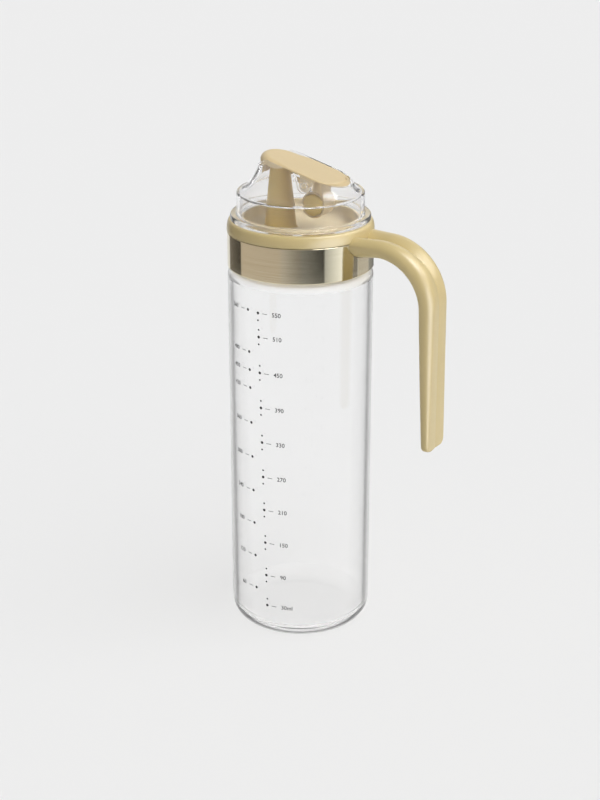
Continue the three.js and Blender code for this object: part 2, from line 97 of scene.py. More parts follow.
# Pour deck and spout
DECK_FLOOR = 203
DECK_FLOOR_THICKNESS = 2
DECK_FLANGE_RADIUS = 31.2
DECK_WALL = 1.5
DECK_RIM = 210.4
DECK_FILLET = 4
DECK_FLANGE_EDGE = 0.2
DECK_RIM_EDGE = 0.5
SPOUT_CENTRE = -11.1
SPOUT_BASE_RADIUS = 7.5
SPOUT_TIP_RADIUS = 4.3
SPOUT_WALL = 1
SPOUT_FOOT = 1.6

# Handle, swept along the line of its outer rims
HANDLE_RIM_HEIGHT = 206.3
HANDLE_REACH = 74.5
HANDLE_BEND = 29.5
HANDLE_TIP_HEIGHT = 106.3
HANDLE_START = 30.5
HANDLE_ROOT_END = 47
HANDLE_HALF_WIDTH = {"root": 12, "body": 10.6, "tip": 9.4}
HANDLE_DEPTH = {"root": 11.2, "body": 9, "tip": 4.8}
HANDLE_BACK_ROUNDING = {"root": 2, "body": 3.2}
HANDLE_RIM_ROUNDING = {"root": 3.4, "body": 6, "tip": 1.4}
HANDLE_TAPER = 1.5
HANDLE_TIP_ROUNDING = 3
CHANNEL_DEPTH = {"root": 4.4, "body": 0.8, "tip": 0.4}
CHANNEL_FADE = 50

# Flip lid. The plane of its top crosses the bottle's axis at the lid's height.
LID_SLOPE = 15.2
LID_HEIGHT = 235.4
LID_HALF_WIDTH = 11.2
LID_REAR_CENTRE = 12.9
LID_REAR_LENGTH = 13.4
LID_FRONT_CENTRE = -8.5
LID_FRONT_LENGTH = 11.5
LID_THICKNESS = 1.3
LID_EDGE = {"front": 3.2, "rear": 0.5}
LID_TOP_BORDER = 0.4
LIP_WALL = 1.6
LIP_EDGE = 0.3
LIP_START = -9
LIP_CURVE = 0.1
LIP_BOTTOM = 229.7

# Hinge and counterweight
HINGE_X = 9.2
HINGE_HEIGHT = 228.4
PIN_RADIUS = 1.3
LUG_RADIUS = 3.4
LUG_INNER = 9
LUG_OUTER = 11
PIN_REACH = 13.2
HINGE_EDGE = 0.2
WEIGHT_X = 9.75
WEIGHT_HEIGHT = 217.7
WEIGHT_RADIUS = 5.1
WEIGHT_LENGTH = 13
WEIGHT_EDGE = 1.2
BARREL_WALL = 0.7
BARREL_LENGTH = 10.6
BARREL_EDGE = 0.25
STEM_X = 11.5
STEM_WIDTH = 4.4
STEM_SPAN = 9.6
STEM_EDGE = 0.4

# Clear dome
DOME_WALL = 1.6
DOME_RADIUS = 30.4
DOME_SHOULDER_HEIGHT = 222.8
DOME_SHOULDER_FILLET = 1
DOME_FLANGE_RADIUS = 33.5
DOME_FLANGE_HEIGHT = 2.5
DOME_FLANGE_FILLET = 0.9
DOME_FOOT_EDGE = 0.2
RIM_THICKNESS = 1.1
RIM_OFFSET = 1.7
RIM_DROP = {"front": 5.6, "rear": -1}
RIM_RISE = {"from": -19, "to": -11}
RIM_LIP = 1.4
RIM_EDGE = 0.3
ROOF_BELL = {"along": 0.5, "up": 0.06}
EAR_WIDTH = 7.4
EAR_TOP_WIDTH = 10.4
EAR_INNER = 11.8
EAR_OUTER = 13.4
EAR_ROOT = 0.6
EAR_EDGE = 0.2

# Printed scale: the near column with its groups of dots and the far column of single dots.
# Turns are measured round the bottle from the side that faces the camera, positive to the right.
PRINT_THICKNESS = 0.05
PRINT_LIFT = 0.01
BIG_DOT = 0.72
SMALL_DOT = 0.47
DOT_STEP = 3.6
DASH_START = 2.4
DASH_LENGTH = 2.6
DASH_HALF_HEIGHT = 0.13
NUMBER_START = 7.4
NUMBER_SIZE = 3
NUMBER_BOLDNESS = 0.03
NUMBER_CURVE_STEPS = 3
SCALE_TOP = 171.2
SCALE_BOTTOM = 17.6
NEAR_TURN = {"top": -34.7, "bottom": -28.3}
FAR_TURN = {"top": -44.9, "bottom": -38.6}
NEAR_MARKS = {
    "550": 171.2, "510": 159.3, "450": 141.4, "390": 123.6, "330": 105.7,
    "270": 87.6, "210": 70, "150": 52.3, "90": 34.4, "30ml": 17.6,
}
FAR_MARKS = {
    "560": 171.6, "480": 150.7, "450": 141.6, "420": 132.5, "360": 114.6,
    "300": 96.8, "240": 79, "180": 61.5, "120": 43.7, "60": 25.9,
}

# Texture densities, in features a metre along x, y and z, and the heights of the bumps
CLOUDS = (60, 60, 60)
MOULD_GRAIN = (500, 500, 500)
FINE_GRAIN = (2600, 2600, 2600)
FINE_GRAIN_HEIGHT = 0.01
BRUSH_STREAKS = (40, 40, 5000)
GLASS_WAVES = (30, 30, 12)
GLASS_WAVE_HEIGHT = 0.04
DOME_WAVES = (90, 90, 90)
DOME_WAVE_HEIGHT = 0.02
INK_PATCHES = (3000, 3000, 3000)
NOISE_LOW = 0.3
NOISE_HIGH = 0.7

# Plastics, metal and ink. Colours are linear red, green and blue.
CREAMS = {
    "cream_plastic": {"pale": (0.60, 0.475, 0.22), "deep": (0.575, 0.455, 0.205), "coat": 0.4},
    # The lid's cream is a paler copy: painted light in place of the sheen that no gloss lamp gives it.
    "lid_cream_painted_light": {"pale": (0.714, 0.56, 0.31), "deep": (0.69, 0.54, 0.3), "coat": 0.4},
    # The deck's cream is a paler, less yellow copy: painted light for the haze and lifted shade on its
    # floor.
    "deck_cream_painted_light": {"pale": (0.67, 0.57, 0.38), "deep": (0.645, 0.55, 0.365), "coat": 0.4},
    # The spout's cream is a darker, deeper copy: painted shade for the shadow under the lid.
    "spout_cream_painted_shade": {"pale": (0.58, 0.415, 0.115), "deep": (0.56, 0.40, 0.11), "coat": 0},
    # The cap's cream is a darker, deeper copy too: painted shade for the shadow under the lid.
    "cap_cream_painted_shade": {"pale": (0.62, 0.44, 0.105), "deep": (0.60, 0.425, 0.1), "coat": 0},
}
CREAM_ROUGHNESS = (0.32, 0.42)
METAL = {"pale": (0.76, 0.70, 0.535), "deep": (0.70, 0.64, 0.48)}
METAL_ROUGHNESS = (0.07, 0.13)
INK = {"pale": (0.05, 0.05, 0.052), "deep": (0.02, 0.02, 0.022)}
INK_ROUGHNESS = (0.5, 0.65)

# Colour of the clear plastic and tone of the glass by slant, from 0 where it is met head-on to 1
# along the surface; the greyer, darker colour at a slant is painted shade at the edges.
# Bending is the index of refraction, transmission the share that is clear, not milky, and clearness
# the share of a lamp's light that passes.
DOME_EDGE_SHADE = [(0.3, (1, 1, 1)), (0.7, (0.97, 0.97, 0.985)), (1, (0.92, 0.92, 0.96))]
DOME_CLEARNESS = 0.97
CLEAR_PLASTICS = {
    "clear_plastic": {"bending": 1.12, "transmission": 0.97},
    "ear_plastic": {"bending": 1.35, "transmission": 0.85},
}
OUTSIDE_EDGE_SHADE = [(0.35, 1), (0.5, 0.85), (0.6, 0.68), (0.67, 0.15), (0.73, 0.2), (0.8, 0.55), (1, 0.8)]
INSIDE_EDGE_SHADE = [(0.6, 1), (0.75, 0.9), (0.87, 0.6), (1, 0.2)]
END_EDGE_SHADE = [(0.4, 1), (0.8, 0.95), (1, 0.7)]
GLASSES = {
    "glass_outside": {"tones": OUTSIDE_EDGE_SHADE, "bending": 1.47, "transmission": 1, "clearness": 0.965},
    "glass_inside": {"tones": INSIDE_EDGE_SHADE, "bending": 1.47, "transmission": 1, "clearness": 0.965},
    # The milky share of the foot and shoulder paints a pale sheen in place of reflected light.
    "glass_foot_painted_sheen": {"tones": END_EDGE_SHADE, "bending": 1.25, "transmission": 0.94, "clearness": 0.995},
    "glass_shoulder_painted_sheen": {"tones": END_EDGE_SHADE, "bending": 1.3, "transmission": 0.5, "clearness": 0.98},
}

# Studio. A lamp's strength is the light on a surface that faces it, and turns are measured
# as for the printed scale.
FLOOR_REACH = 30000
FLOOR_GAP = 0.2
FLOOR_TONE = 0.85
CARD_RADIUS = 450
CARD_LOW = 46
CARD_HIGH = 320
CARDS = {
    "card_dark_left": {"turns": (-142, -103), "tones": (0.22, 0.06), "warmth": 0.1},
    "card_warm": {"turns": (-103, -30), "tones": (0.6, 0.56), "warmth": 0.12},
    "card_front_left": {"turns": (-30, 0), "tones": (0.53, 0.24), "warmth": 0.06},
    "card_front": {"turns": (0, 36), "tones": (0.24, 0.05), "warmth": 0},
    "card_bright": {"turns": (36, 78), "tones": (0.52, 1.5), "warmth": -0.02},
    "card_dark_right": {"turns": (80, 97), "tones": (0.24, 0.26), "warmth": 0.05},
    "card_right": {"turns": (98, 130), "tones": (0.6, 0.6), "warmth": 0.05},
    "card_far_right": {"turns": (130, 165), "tones": (0.35, 0.15), "warmth": 0},
}
SURROUNDINGS_STRENGTH = 0.6
BACKDROP_STRENGTH = 0.85
FILL_STRENGTH = 0.96
FILL_SPREAD = 170
FILL_TURN = 0
FILL_RISE = 90
INNER_FILL_STRENGTH = 0.65
HAZE_STRENGTH = 2
HAZE_TURN = 20
HAZE_RISE = 25
KEY_STRENGTH = 2.6
KEY_SPREAD = 32
KEY_TURN = 55
KEY_RISE = 55
GLOSS_LAMPS = {
    "gloss_front": {"strength": 5, "spread": 54, "turn": 48, "rise": -6},
    "gloss_low": {"strength": 0.4, "spread": 20, "turn": 84, "rise": -16},
    "gloss_high": {"strength": 1.5, "spread": 40, "turn": 98, "rise": 40},
    "gloss_behind": {"strength": 0.27, "spread": 46, "turn": 160, "rise": 24},
}
FLOOR_LAMP_STRENGTH = 2.85
FLOOR_LAMP_SPREAD = 70
FLOOR_LAMP_RISE = 50

# Camera at the photo's viewpoint
CAMERA_AZIMUTH = 30
CAMERA_DISTANCE = 756.5
CAMERA_HEIGHT = 417.9
CAMERA_PITCH = 21.762
CAMERA_TURN = 0.021
CAMERA_LENS = 73.87
CAMERA_SENSOR = 36
CAMERA_NEAR = 10
CAMERA_FAR = 100000


# Small sums

def ease(start, end, value):
    share = min(1, max(0, (value - start) / (end - start)))
    return share * share * (3 - 2 * share)


def between(a, b, share):
    return a + (b - a) * share


# Angle round Z, in radians, of a turn that is measured from the side facing the camera.
def turn_angle(turn):
    return math.radians(turn + CAMERA_AZIMUTH - 90)


# Points round a circle, or its middle where the radius is 0.
def circle(radius, sides):
    if radius == 0:
        return [(0, 0)]
    angles = [2 * math.pi * i / sides for i in range(sides)]
    return [(radius * math.cos(a), radius * math.sin(a)) for a in angles]


# The stretch between two distances out to one side, from its lower end.
def side_span(side, near, far):
    return sorted((side * near, side * far))


# Points of an open line of corners (x, y, fillet), with an arc in place of each filleted corner.
def rounded_path(corners, steps=FILLET_STEPS):
    points = []
    for index, (x, y, fillet) in enumerate(corners):
        corner = Vector((x, y))
        if fillet == 0 or index in (0, len(corners) - 1):
            points.append(corner)
            continue
        back = (Vector(corners[index - 1][:2]) - corner).normalized()
        onward = (Vector(corners[index + 1][:2]) - corner).normalized()
        half = back.angle(onward) / 2
        centre = corner + (back + onward).normalized() * (fillet / math.sin(half))
        start = corner + back * (fillet / math.tan(half)) - centre
        end = corner + onward * (fillet / math.tan(half)) - centre
        sweep = math.pi - 2 * half
        for i in range(steps + 1):
            onto_start = math.sin(sweep * (1 - i / steps)) / math.sin(sweep)
            onto_end = math.sin(sweep * i / steps) / math.sin(sweep)
            points.append(centre + start * onto_start + end * onto_end)
    return supported(points)


# Adds a point near both ends of each long stretch, so that its shading stays straight.
def supported(points):
    path = points[:1]
    for a, b in zip(points, points[1:]):
        if (b - a).length > LONG_STRETCH:
            path.append(a + (b - a).normalized() * SUPPORT)
            path.append(b - (b - a).normalized() * SUPPORT)
        path.append(b)
    return path


# Meshes

def shade(piece):
    piece.data.shade_smooth()
    piece.data.set_sharp_from_angle(angle=math.radians(SHARP_ANGLE))
    return piece


def mesh_piece(name, points, faces):
    mesh = bpy.data.meshes.new(name)
    mesh.from_pydata([Vector(point) * MM for point in points], [], faces)
    skin = bmesh.new()
    skin.from_mesh(mesh)
    bmesh.ops.remove_doubles(skin, verts=skin.verts, dist=WELD_DISTANCE * MM)
    bmesh.ops.recalc_face_normals(skin, faces=skin.faces)
    skin.to_mesh(mesh)
    skin.free()
    piece = bpy.data.objects.new(name, mesh)
    bpy.context.scene.collection.objects.link(piece)
    return shade(piece)


# Joins a stack of rings into one skin. A ring of one point closes an end of the stack,
# and in a looped stack the last ring joins the first again.
def ring_stack(name, rings, looped=False):
    points = []
    starts = []
    for ring in rings:
        starts.append(len(points))
        points += ring
    faces = []
    pairs = [(i, i + 1) for i in range(len(rings) - 1)]
    if looped:
        pairs.append((len(rings) - 1, 0))
    for a, b in pairs:
        sides = max(len(rings[a]), len(rings[b]))
        for i in range(sides):
            j = (i + 1) % sides
            corners = [starts[a] + i % len(rings[a]), starts[a] + j % len(rings[a])]
            corners += [starts[b] + j % len(rings[b]), starts[b] + i % len(rings[b])]
            faces.append(list(dict.fromkeys(corners)))
    return mesh_piece(name, points, faces)


# Turns a line of radius and height round the Z axis.
def turned(name, path, looped=False, sides=ROUND_SIDES, centre_x=0):
    rings = []
    for radius, height in path:
        rings.append([(centre_x + x, y, height) for x, y in circle(radius, sides)])
    return ring_stack(name, rings, looped)


# Turns a line of radius and distance along Y round an axis at x, z.
def turned_across(name, x, z, path):
    rings = []
    for radius, along in path:
        rings.append([(x + out, along, z + up) for out, up in circle(radius, SMALL_SIDES)])
    return ring_stack(name, rings)


def cross_cylinder(name, x, z, radius, from_y, to_y, edge=0):
    corners = [(0, from_y, 0), (radius, from_y, edge), (radius, to_y, edge), (0, to_y, 0)]
    return turned_across(name, x, z, rounded_path(corners))


# A prism with rounded edges from an outline of x and z, between two distances along Y.
def cross_prism(name, outline, from_y, to_y, edge):
    middle_x = sum(x for x, z in outline) / len(outline)
    middle_z = sum(z for x, z in outline) / len(outline)
    rings = [[(middle_x, y, middle_z)] for y in (from_y, to_y)]
    rings[1:1] = [[(x, y, z) for x, z in outline] for y in (from_y, to_y)]
    piece = ring_stack(name, rings)
    soften(piece, edge)
    return piece


def soften(piece, width):
    skin = bmesh.new()
    skin.from_mesh(piece.data)
    limit = math.radians(SHARP_ANGLE)
    edges = [e for e in skin.edges if e.is_manifold and e.calc_face_angle() > limit]
    bmesh.ops.bevel(
        skin, geom=edges, offset=width * MM, segments=BEVEL_STEPS, affect="EDGES", profile=0.5,
    )
    skin.to_mesh(piece.data)
    skin.free()
    return shade(piece)


# Unites two closed meshes or cuts one from the other. The second one is used up.
def combine(piece, other, operation):
    modifier = piece.modifiers.new("combine", "BOOLEAN")
    modifier.operation = operation
    modifier.solver = "MANIFOLD"
    modifier.object = other
    graph = bpy.context.evaluated_depsgraph_get()
    mesh = bpy.data.meshes.new_from_object(piece.evaluated_get(graph))
    piece.modifiers.clear()
    piece.data = mesh
    bpy.data.objects.remove(other)
    return shade(piece)


# Adds a material to a piece and returns the number of its slot.
def add_material(piece, material):
    piece.data.materials.append(material)
    return len(piece.data.materials) - 1


# Lower half of a circle round the hinge, from the spout's side to the handle's.
def hinge_arc(radius, steps):
    angles = [math.pi * (1 + i / steps) for i in range(steps + 1)]
    return [(HINGE_X + radius * math.cos(a), HINGE_HEIGHT + radius * math.sin(a)) for a in angles]


# Slanted plane of the lid: along runs down towards the handle, across is Y, up is its normal.
def on_lid(along, across, up):
    slope = math.radians(LID_SLOPE)
    x = along * math.cos(slope) + up * math.sin(slope)
    z = LID_HEIGHT - along * math.sin(slope) + up * math.cos(slope)
    return Vector((x, across, z))


# Height of a plane parallel to the lid's top, up above it, at a given x.
def lid_plane_height(x, up):
    slope = math.radians(LID_SLOPE)
    return LID_HEIGHT - x * math.tan(slope) + up / math.cos(slope)


# Evenly spaced points of the lid's outline with their outward directions, from the rear end on.
def lid_outline_points(count):
    steps = 400
    fine = []
    for i in range(4 * steps):
        angle = 2 * math.pi * i / (4 * steps)
        rear = math.cos(angle) > 0
        centre = LID_REAR_CENTRE if rear else LID_FRONT_CENTRE
        length = LID_REAR_LENGTH if rear else LID_FRONT_LENGTH
        point = Vector((centre + length * math.cos(angle), LID_HALF_WIDTH * math.sin(angle)))
        outward = Vector((math.cos(angle) / length, math.sin(angle) / LID_HALF_WIDTH)).normalized()
        fine.append((point, outward))
    fine.append(fine[0])
    lengths = [0]
    for (a, _), (b, _) in zip(fine, fine[1:]):
        lengths.append(lengths[-1] + (b - a).length)
    samples = []
    for i in range(count):
        target = lengths[-1] * i / count
        k = bisect.bisect_right(lengths, target) - 1
        share = (target - lengths[k]) / (lengths[k + 1] - lengths[k])
        point = fine[k][0].lerp(fine[k + 1][0], share)
        outward = fine[k][1].lerp(fine[k + 1][1], share).normalized()
        samples.append((point, outward))
    return samples


LID_OUTLINE = lid_outline_points(LID_SIDES)


def lid_outline(index, offset):
    point, outward = LID_OUTLINE[index]
    return point + outward * offset


# Glass bottle

def bottle():
    inner = GLASS_RADIUS - GLASS_WALL
    inner_fillet = BASE_FILLET - GLASS_WALL
    inner_shoulder = SHOULDER_TOP - GLASS_WALL
    corners = [
        (0, 0, 0),
        (GLASS_RADIUS, 0, BASE_FILLET),
        (GLASS_RADIUS, SHOULDER_TOP, SHOULDER_FILLET),
        (NECK_RADIUS, SHOULDER_TOP, 0),
        (NECK_RADIUS, MOUTH_HEIGHT, MOUTH_EDGE),
        (MOUTH_RADIUS, MOUTH_HEIGHT, MOUTH_EDGE),
        (MOUTH_RADIUS, inner_shoulder, 0),
        (inner, inner_shoulder, SHOULDER_FILLET - GLASS_WALL),
        (inner, BASE_THICKNESS, inner_fillet),
        (0, BASE_THICKNESS, 0),
    ]
    return turned("bottle_glass", rounded_path(corners, 2 * FILLET_STEPS))


# Gives the faces inside the bottle, and those of its foot and shoulder, materials of their own.
# The foot's and shoulder's materials paint a pale sheen with their milky share.
def divide_glass(vessel, inside, foot, shoulder):
    inside_slot = add_material(vessel, inside)
    foot_slot = add_material(vessel, foot)
    shoulder_slot = add_material(vessel, shoulder)
    wall_middle = GLASS_RADIUS - GLASS_WALL / 2
    for face in vessel.data.polygons:
        radius = face.center.xy.length / MM
        height = face.center.z / MM
        if height < BASE_FILLET:
            face.material_index = foot_slot
        elif height > SHOULDER_TOP - SHOULDER_FILLET:
            face.material_index = shoulder_slot
        elif radius < wall_middle:
            face.material_index = inside_slot


# Handle: a bar hollowed along its outer face that leaves the collar level, bends down and ends free

def handle_length():
    level = HANDLE_REACH - HANDLE_BEND - HANDLE_START
    drop = HANDLE_RIM_HEIGHT - HANDLE_BEND - HANDLE_TIP_HEIGHT
    return level + HANDLE_BEND * math.pi / 2 + drop


# The point of the handle's line at a distance from its start, and the line's direction there.
def handle_line(distance):
    bend_x = HANDLE_REACH - HANDLE_BEND
    bend_z = HANDLE_RIM_HEIGHT - HANDLE_BEND
    level = bend_x - HANDLE_START
    turn = min(max(0, distance - level) / HANDLE_BEND, math.pi / 2)
    drop = max(0, distance - level - HANDLE_BEND * math.pi / 2)
    x = HANDLE_START + min(distance, level) + HANDLE_BEND * math.sin(turn)
    z = bend_z + HANDLE_BEND * math.cos(turn) - drop
    return x, z, math.cos(turn), -math.sin(turn)


# The outline at a distance, in pairs of across and out. Grow is added all round, and hollow is
# the share of the channel's depth that is cut.
def handle_section(distance, grow, hollow):
    length = handle_length()
    root_share = ease(0, HANDLE_ROOT_END - HANDLE_START, distance)
    body_share = (distance / length) ** HANDLE_TAPER
    body = between(HANDLE_HALF_WIDTH["body"], HANDLE_HALF_WIDTH["tip"], body_share)
    tip_share = min(1, max(0, (distance - length) / HANDLE_TIP_ROUNDING + 1))
    tip_loss = HANDLE_TIP_ROUNDING * (1 - math.sqrt(1 - tip_share ** 2))
    half_width = between(HANDLE_HALF_WIDTH["root"], body, root_share) - tip_loss + grow
    body_depth = between(HANDLE_DEPTH["body"], HANDLE_DEPTH["tip"], body_share)
    depth = between(HANDLE_DEPTH["root"], body_depth, root_share) + 2 * grow
    power = between(HANDLE_BACK_ROUNDING["root"], HANDLE_BACK_ROUNDING["body"], root_share)
    fade = ease(0, CHANNEL_FADE, distance)
    body_channel = between(CHANNEL_DEPTH["body"], CHANNEL_DEPTH["tip"], body_share)
    channel = hollow * between(CHANNEL_DEPTH["root"], body_channel, fade)
    body_rim = between(HANDLE_RIM_ROUNDING["body"], HANDLE_RIM_ROUNDING["tip"], body_share)
    rim = between(HANDLE_RIM_ROUNDING["root"], body_rim, fade)
    crest = half_width - rim
    outer_steps = 64
    inner_steps = 40
    points = []
    for i in range(outer_steps):
        across = -half_width * math.cos(math.pi * i / outer_steps)
        past_crest = max(0, abs(across) - crest) / rim
        rounding = rim * (1 - math.sqrt(max(0, 1 - past_crest ** 2)))
        valley = channel * max(0, 1 - abs(across) / crest) ** 2
        points.append((across, grow - rounding - valley))
    for i in range(inner_steps):
        share = math.cos(math.pi * i / inner_steps)
        bulge = (1 - abs(share) ** power) ** (1 / power)
        points.append((half_width * share, grow - rim - (depth - rim) * bulge))
    return points


def handle(name, start, grow, hollow):
    length = handle_length()
    steps = 110
    tip_steps = 10
    tip_start = length - HANDLE_TIP_ROUNDING
    stations = [between(start, tip_start, i / steps) for i in range(steps)]
    quarter = math.pi / 2 / tip_steps
    stations += [tip_start + HANDLE_TIP_ROUNDING * math.sin(i * quarter) for i in range(tip_steps + 1)]

    # A point inside the section, near its middle, which closes an end.
    def middle(distance):
        near = 1
        section = handle_section(distance, grow, hollow)
        outs = [out for across, out in section if abs(across) < near]
        return [(0, sum(outs) / len(outs))]

    def ring(distance, section):
        x, z, along_x, along_z = handle_line(distance)
        return [(x - out * along_z, across, z + out * along_x) for across, out in section]

    rings = [ring(stations[0], middle(stations[0]))]
    rings += [ring(distance, handle_section(distance, grow, hollow)) for distance in stations]
    rings.append(ring(length, middle(length)))
    return ring_stack(name, rings)


# Collar with the handle, one moulding

def collar():
    skirt_outer = BAND_RADIUS - BAND_THICKNESS - GAP
    skirt_inner = NECK_RADIUS + 2 * GAP
    skirt_bottom = BAND_BOTTOM + COLLAR_SKIRT_RISE
    crown_base = COLLAR_TOP - COLLAR_CROWN_HEIGHT
    crown_centre = COLLAR_RADIUS - COLLAR_CROWN_WIDTH
    crown_steps = 14
    lower = [
        (skirt_inner, skirt_bottom, 0),
        (skirt_outer, skirt_bottom, COLLAR_EDGE),
        (skirt_outer, BAND_TOP + GAP, 0),
        (COLLAR_RADIUS, BAND_TOP + GAP, COLLAR_FOOT_EDGE),
        (COLLAR_RADIUS, crown_base, 0),
    ]
    path = rounded_path(lower)
    for i in range(1, crown_steps + 1):
        angle = math.pi / 2 * i / crown_steps
        across = crown_centre + COLLAR_CROWN_WIDTH * math.cos(angle)
        path.append(Vector((across, crown_base + COLLAR_CROWN_HEIGHT * math.sin(angle))))
    upper = [
        (crown_centre - COLLAR_CROWN_FLAT, COLLAR_TOP, 0),
        (COLLAR_BORE, COLLAR_TOP, COLLAR_EDGE),
        (COLLAR_BORE, DECK_FLOOR + GAP, 0),
        (skirt_inner, DECK_FLOOR + GAP, 0),
    ]
    ring = turned("collar_moulding", path + rounded_path(upper), looped=True)
    root = skirt_inner + CUT_MARGIN - HANDLE_START
    return combine(ring, handle("handle_part", root, grow=0, hollow=1), "UNION")


def band():
    inner = BAND_RADIUS - BAND_THICKNESS
    middle = (BAND_BOTTOM + BAND_TOP) / 2
    corners = [
        (inner, middle, 0),
        (inner, BAND_BOTTOM, BAND_INNER_EDGE),
        (BAND_RADIUS, BAND_BOTTOM, BAND_EDGE),
        (BAND_RADIUS, BAND_TOP, BAND_EDGE),
        (inner, BAND_TOP, BAND_INNER_EDGE),
        (inner, middle, 0),
    ]
    ring = turned("band_metal", rounded_path(corners)[:-1], looped=True)
    return combine(ring, handle("notch", start=0, grow=GAP, hollow=0), "DIFFERENCE")


# Pour deck: a dish over the mouth, with the spout rising from its floor

def deck():
    wall_outer = COLLAR_BORE - GAP
    wall_inner = wall_outer - DECK_WALL
    bottom = DECK_FLOOR - DECK_FLOOR_THICKNESS
    dish_corners = [
        (0, bottom, 0),
        (DECK_FLANGE_RADIUS, bottom, DECK_FLANGE_EDGE),
        (DECK_FLANGE_RADIUS, DECK_FLOOR, DECK_FLANGE_EDGE),
        (wall_outer, DECK_FLOOR, 0),
        (wall_outer, DECK_RIM, DECK_RIM_EDGE),
        (wall_inner, DECK_RIM, DECK_RIM_EDGE),
        (wall_inner, DECK_FLOOR, DECK_FILLET),
        (0, DECK_FLOOR, 0),
    ]
    dish = turned("pour_deck_dish", rounded_path(dish_corners))
    foot_steps = 8
    foot_top = DECK_FLOOR + 2 * SPOUT_FOOT
    tip = LID_HEIGHT + LID_THICKNESS
    root = DECK_FLOOR - CUT_MARGIN
    column = [(0, root), (SPOUT_BASE_RADIUS + SPOUT_FOOT, root)]
    for i in range(foot_steps + 1):
        share = i / foot_steps
        radius = SPOUT_BASE_RADIUS + SPOUT_FOOT * (1 - share) ** 2
        column.append((radius, between(DECK_FLOOR, foot_top, share ** 2)))
    wall_steps = 6
    for i in range(1, wall_steps + 1):
        share = i / wall_steps
        radius = between(SPOUT_BASE_RADIUS, SPOUT_TIP_RADIUS, share)
        column.append((radius, between(foot_top, tip, share)))
    column.append((0, tip))
    spout = turned("spout_part", column, sides=SMALL_SIDES, centre_x=SPOUT_CENTRE)
    reach = 2 * COLLAR_RADIUS
    mouth = -LID_THICKNESS - 2 * GAP
    above = [(-reach, lid_plane_height(-reach, mouth)), (reach, lid_plane_height(reach, mouth))]
    above += [(reach, LID_HEIGHT + reach), (-reach, LID_HEIGHT + reach)]
    combine(spout, cross_prism("above", above, -reach, reach, CUTTER_EDGE), "DIFFERENCE")
    bore_base = SPOUT_BASE_RADIUS - SPOUT_WALL
    bore_tip = SPOUT_TIP_RADIUS - SPOUT_WALL
    bore_path = [(0, bottom - CUT_MARGIN), (bore_base, bottom - CUT_MARGIN), (bore_base, DECK_FLOOR)]
    bore_path += [(bore_tip, tip + CUT_MARGIN), (0, tip + CUT_MARGIN)]
    bore = turned("bore", bore_path, sides=SMALL_SIDES, centre_x=SPOUT_CENTRE)
    return combine(combine(dish, spout, "UNION"), bore, "DIFFERENCE")


# Gives the faces of the spout a material of their own, a darker cream that paints the shade under the
# lid.
def divide_deck(dish, column):
    spout_slot = add_material(dish, column)
    reach = SPOUT_BASE_RADIUS + SPOUT_FOOT
    for face in dish.data.polygons:
        place = face.center / MM
        near_spout = max(abs(place.x - SPOUT_CENTRE), abs(place.y)) < reach
        if near_spout and place.z > DECK_FLOOR + FACE_MARGIN:
            face.material_index = spout_slot


# Clear dome: flange, upright wall and a roof drawn up to a slanted opening

def rim_point(index, inwards, lower):
    rise = ease(RIM_RISE["from"], RIM_RISE["to"], lid_outline(index, 0).x)
    drop = between(RIM_DROP["front"], RIM_DROP["rear"], rise) + lower
    edge = lid_outline(index, RIM_OFFSET - inwards)
    point = on_lid(edge.x, edge.y, -LID_THICKNESS)
    point.z -= drop
    return point


# The point of a level circle that lies straight out from the lid's middle past a rim point.
def circle_point(index, radius, height):
    middle = (LID_REAR_CENTRE + LID_FRONT_CENTRE) / 2
    rim = rim_point(index, inwards=0, lower=0)
    angle = math.atan2(rim.y, rim.x - middle)
    sideways = middle * math.sin(angle)
    reach = math.sqrt(radius ** 2 - sideways ** 2) - middle * math.cos(angle)
    return Vector((middle + reach * math.cos(angle), reach * math.sin(angle), height))


def roof_point(index, foot_radius, foot_height, inwards, lower, share):
    foot = circle_point(index, foot_radius, foot_height)
    rim = rim_point(index, inwards, lower)
    bend = foot.lerp(rim, ROOF_BELL["along"])
    bend.z = between(foot.z, rim.z, ROOF_BELL["up"])
    return foot.lerp(bend, share).lerp(bend.lerp(rim, share), share)


def dome_shell():
    bottom = COLLAR_TOP + GAP
    flange_top = bottom + DOME_FLANGE_HEIGHT
    inner = DOME_RADIUS - DOME_WALL
    outer_foot = (DOME_RADIUS - DOME_SHOULDER_FILLET, DOME_SHOULDER_HEIGHT)
    inner_foot = (inner, DOME_SHOULDER_HEIGHT - DOME_WALL)
    outer_edge = (0, RIM_EDGE)
    inner_edge = (RIM_THICKNESS, RIM_LIP)
    corners = [
        (inner, bottom, 0),
        (DOME_FLANGE_RADIUS, bottom, DOME_FOOT_EDGE),
        (DOME_FLANGE_RADIUS, flange_top, DOME_FLANGE_FILLET),
        (DOME_RADIUS, flange_top, DOME_FLANGE_FILLET),
        (DOME_RADIUS, DOME_SHOULDER_HEIGHT, DOME_SHOULDER_FILLET),
        (*outer_foot, 0),
    ]
    everywhere = range(LID_SIDES)
    rings = []
    for radius, height in rounded_path(corners)[:-1]:
        rings.append([circle_point(i, radius, height) for i in everywhere])
    for step in range(1, ROOF_STEPS + 1):
        share = step / ROOF_STEPS
        rings.append([roof_point(i, *outer_foot, *outer_edge, share) for i in everywhere])
    corner = RIM_EDGE * (1 - math.sqrt(0.5))
    rim_path = [
        (corner, corner),
        (RIM_EDGE, 0),
        (RIM_THICKNESS - RIM_EDGE, 0),
        (RIM_THICKNESS - corner, corner),
        (RIM_THICKNESS, RIM_EDGE),
    ]
    for inwards, lower in rim_path:
        rings.append([rim_point(i, inwards, lower) for i in everywhere])
    for step in range(ROOF_STEPS, -1, -1):
        share = step / ROOF_STEPS
        rings.append([roof_point(i, *inner_foot, *inner_edge, share) for i in everywhere])
    return ring_stack("dome_clear", rings, looped=True)


